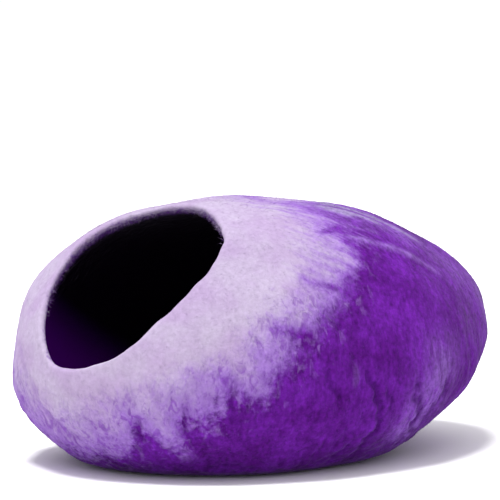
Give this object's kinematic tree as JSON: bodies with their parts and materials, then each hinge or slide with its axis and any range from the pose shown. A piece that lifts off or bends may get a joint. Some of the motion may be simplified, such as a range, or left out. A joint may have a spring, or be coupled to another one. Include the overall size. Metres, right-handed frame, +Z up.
{
  "type": "felt cat cave",
  "caption": "Seamless wet-felted wool cat cave: a hollow pebble-shaped pouch with a round mouth at the front, resting flat on its belly.",
  "frame": {"origin": "middle of the box at floor height, under the pouch", "axes": "+Z up, -Y the way the mouth faces, +X the pouch's right-hand side"},
  "size_m": [0.4026, 0.5644, 0.2662],
  "materials": {
    "wool_felt": "matt wet-felted wool with a short fuzz, pale lilac round the mouth running into purple over the back and belly, deep violet inside"
  },
  "bodies": {
    "root": {"felt_cave": "wool_felt"}
  },
  "joints": []
}
